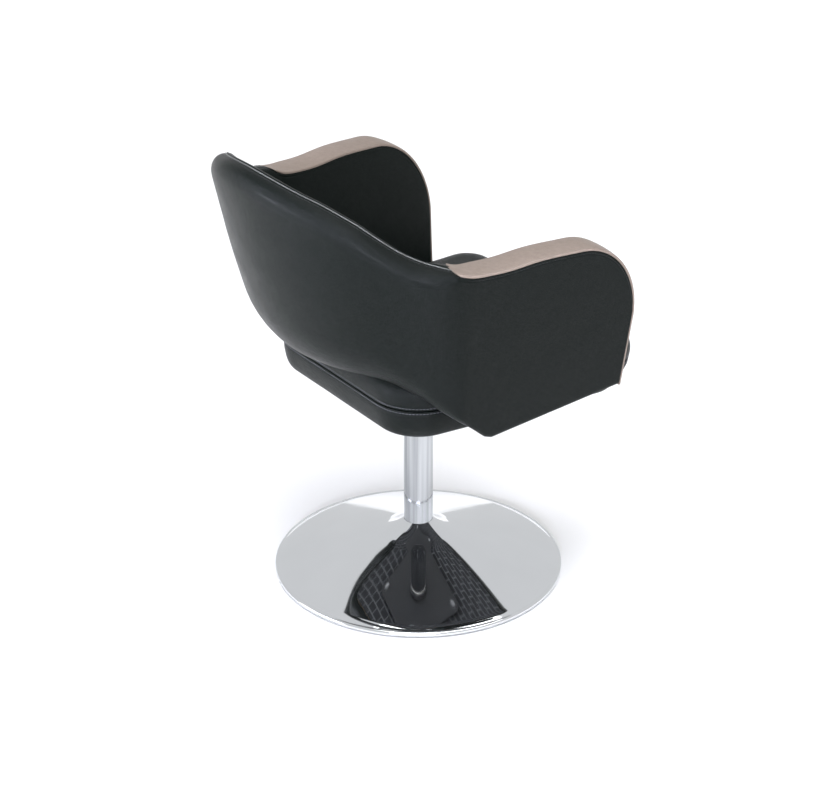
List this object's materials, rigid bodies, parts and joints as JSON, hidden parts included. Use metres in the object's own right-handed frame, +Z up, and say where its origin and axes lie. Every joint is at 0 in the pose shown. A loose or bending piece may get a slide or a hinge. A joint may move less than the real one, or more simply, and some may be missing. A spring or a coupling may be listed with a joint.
{
  "type": "styling chair",
  "caption": "Salon styling chair: black padded shell with curved arms and taupe arm bands, separate seat cushion, chromed column on a round disc base, free swivel.",
  "frame": {"origin": "on the floor, at the axis of the column, on the underside of the floor pad", "axes": "+Z up, -Y the way the sitter faces, +X the sitter's left"},
  "size_m": [0.6402, 0.6199, 0.793],
  "materials": {
    "black_leather": "satin",
    "inner_leather": "satin",
    "taupe_leather": "satin",
    "chrome": "polished",
    "steel": "satin",
    "black_steel": "satin",
    "iron": "matte",
    "nylon": "matte",
    "rubber": "matte",
    "plywood": "matte",
    "beech": "matte",
    "lining": "matte"
  },
  "bodies": {
    "base": {"base_cover": "chrome", "floor_pad": "rubber", "base_weight": "iron", "column_tube": "chrome", "column_foot_plug": "steel", "foot_washer": "steel", "foot_bolt": "steel", "upper_bush": "nylon", "lower_bush": "nylon", "thrust_bearing": "steel"},
    "seat": {"swivel_spindle": "steel", "spindle_clip": "steel", "seat_plate": "black_steel", "swivel_hub": "black_steel", "plate_bolt_1": "steel", "plate_bolt_2": "steel", "plate_bolt_3": "steel", "plate_bolt_4": "steel", "seat_base_pad": "black_leather", "seat_cushion": "black_leather", "seat_board": "plywood", "seat_lining": "lining", "seat_rail_left": "beech", "seat_rail_right": "beech", "shell_frame": "plywood", "outer_cover": "black_leather", "back_pad": "inner_leather", "arm_pad_left": "inner_leather", "arm_pad_right": "inner_leather", "arm_band_left": "taupe_leather", "arm_band_right": "taupe_leather", "arm_bolt_left_1": "steel", "arm_bolt_left_2": "steel", "arm_bolt_right_1": "steel", "arm_bolt_right_2": "steel"}
  },
  "joints": [
    {"name": "seat_swivel", "type": "hinge", "parent": "base", "child": "seat", "pos_m": [0, 0, 0.33], "axis": [0, 0, 1], "continuous": true}
  ]
}
